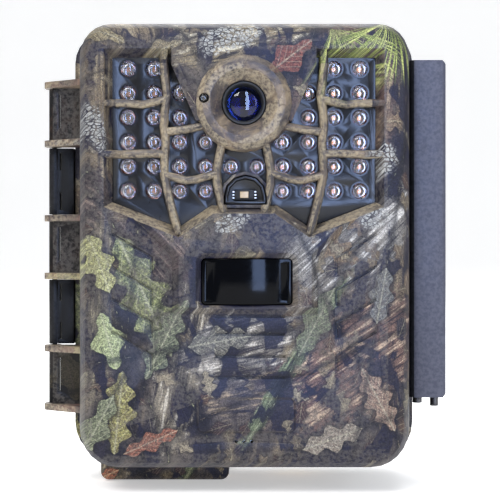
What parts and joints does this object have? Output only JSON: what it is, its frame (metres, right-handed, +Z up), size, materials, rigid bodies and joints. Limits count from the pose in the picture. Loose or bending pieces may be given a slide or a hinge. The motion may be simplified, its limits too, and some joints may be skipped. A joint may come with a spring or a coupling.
{
  "type": "trail camera",
  "caption": "Strap-on trail camera: hinged camouflage front with lens, infrared LEDs behind branch ribs and motion window, side draw latch, slide-out battery tray.",
  "frame": {"origin": "middle of the tree bracket's flat face, which bears on the tree or post", "axes": "+Z up, +Y out of the back towards the tree, the lens looks along -Y, +X to the right seen from the front"},
  "size_m": [0.1285, 0.072, 0.1463],
  "materials": {
    "camo_shell": "camouflage printed film, satin",
    "black_plastic": "fine grained",
    "panel_black": "gloss",
    "latch_grey": "satin gunmetal",
    "dark_grey_plastic": "fine texture",
    "key_grey": "matt silicone",
    "switch_grey": "matt",
    "gasket_rubber": "matt",
    "led_clear": "clear moulded epoxy",
    "lens_glass": "coated",
    "filter_glass": "coated",
    "sensor_window": "gloss",
    "sensor_pale": "satin",
    "board_green": "solder mask",
    "lcd_grey": "satin",
    "lcd_glass": "clear",
    "steel": "bright",
    "dark_steel": "blackened",
    "brass": "turned",
    "cell_wrap": "printed film on steel",
    "card_blue": "matt"
  },
  "bodies": {
    "rear_half": {"rear_shell": "camo_shell", "rear_knuckle_upper": "black_plastic", "rear_knuckle_lower": "black_plastic", "hinge_pin": "steel", "door_gasket": "gasket_rubber", "tree_bracket": "black_plastic", "bracket_screw_1": "steel", "bracket_screw_2": "steel", "bracket_screw_3": "steel", "bracket_screw_4": "steel", "tripod_insert": "brass", "power_jack": "black_plastic", "terminal_board": "board_green", "main_board": "board_green", "control_panel": "dark_grey_plastic", "lcd_window": "lcd_glass", "lcd_module": "lcd_grey", "card_socket": "steel", "latch_pin_rear": "dark_steel"},
    "front_half": {"front_shell": "camo_shell", "led_panel": "panel_black", "ir_led_board": "led_clear", "lens_barrel": "black_plastic", "front_lens": "lens_glass", "rear_lens": "lens_glass", "lens_holder": "black_plastic", "camera_board": "board_green", "light_sensor_cup": "sensor_window", "light_sensor": "sensor_pale", "indicator_lamp": "sensor_window", "pir_window": "sensor_window", "pir_sensor": "steel", "microphone": "steel", "inner_cover": "dark_grey_plastic", "cover_screw_1": "steel", "cover_screw_2": "steel", "cover_screw_3": "steel", "cover_screw_4": "steel"},
    "filter_slide": {"ir_filter": "filter_glass"},
    "link": {"latch_link": "latch_grey", "latch_pin_front": "dark_steel"},
    "lever": {"latch_lever": "latch_grey"},
    "tray": {"battery_tray": "camo_shell", "tray_contacts": "steel", "battery_1": "cell_wrap", "battery_2": "cell_wrap", "battery_3": "cell_wrap", "battery_4": "cell_wrap", "battery_5": "cell_wrap", "battery_6": "cell_wrap", "battery_7": "cell_wrap", "battery_8": "cell_wrap"},
    "key_ok": {"key_ok": "key_grey"},
    "key_up": {"key_up": "key_grey"},
    "key_down": {"key_down": "key_grey"},
    "key_left": {"key_left": "key_grey"},
    "key_right": {"key_right": "key_grey"},
    "power_switch": {"power_switch": "switch_grey"},
    "memory_card": {"memory_card": "card_blue"},
    "jack_plug": {"jack_plug": "gasket_rubber"}
  },
  "joints": [
    {"name": "door_hinge", "type": "hinge", "parent": "rear_half", "child": "front_half", "pos_m": [-0.062, -0.04515, 0], "axis": [0, 0, -1], "range_deg": [0, 120]},
    {"name": "latch_link_hinge", "type": "hinge", "parent": "rear_half", "child": "link", "pos_m": [0.0569, -0.036, 0], "axis": [0, 0, 1], "range_deg": [0, 100]},
    {"name": "latch_lever_hinge", "type": "hinge", "parent": "link", "child": "lever", "pos_m": [0.0613, -0.045, 0], "axis": [0, 0, 1], "range_deg": [0, 60]},
    {"name": "tray_slide", "type": "slide", "parent": "rear_half", "child": "tray", "axis": [0, 0, -1], "range_m": [0, 0.105]},
    {"name": "filter_shift", "type": "slide", "parent": "front_half", "child": "filter_slide", "axis": [1, 0, 0], "range_m": [0, 0.008]},
    {"name": "key_ok_press", "type": "slide", "parent": "rear_half", "child": "key_ok", "axis": [0, 1, 0], "range_m": [0, 0.001], "stiffness_N_per_m": 800, "springref_m": -0.0005},
    {"name": "key_up_press", "type": "slide", "parent": "rear_half", "child": "key_up", "axis": [0, 1, 0], "range_m": [0, 0.001], "stiffness_N_per_m": 800, "springref_m": -0.0005},
    {"name": "key_down_press", "type": "slide", "parent": "rear_half", "child": "key_down", "axis": [0, 1, 0], "range_m": [0, 0.001], "stiffness_N_per_m": 800, "springref_m": -0.0005},
    {"name": "key_left_press", "type": "slide", "parent": "rear_half", "child": "key_left", "axis": [0, 1, 0], "range_m": [0, 0.001], "stiffness_N_per_m": 800, "springref_m": -0.0005},
    {"name": "key_right_press", "type": "slide", "parent": "rear_half", "child": "key_right", "axis": [0, 1, 0], "range_m": [0, 0.001], "stiffness_N_per_m": 800, "springref_m": -0.0005},
    {"name": "power_switch_slide", "type": "slide", "parent": "rear_half", "child": "power_switch", "axis": [1, 0, 0], "range_m": [0, 0.006]},
    {"name": "card_eject", "type": "slide", "parent": "rear_half", "child": "memory_card", "axis": [0, -1, 0], "range_m": [0, 0.003]},
    {"name": "plug_pull", "type": "slide", "parent": "rear_half", "child": "jack_plug", "axis": [0, 0, -1], "range_m": [0, 0.008]}
  ]
}
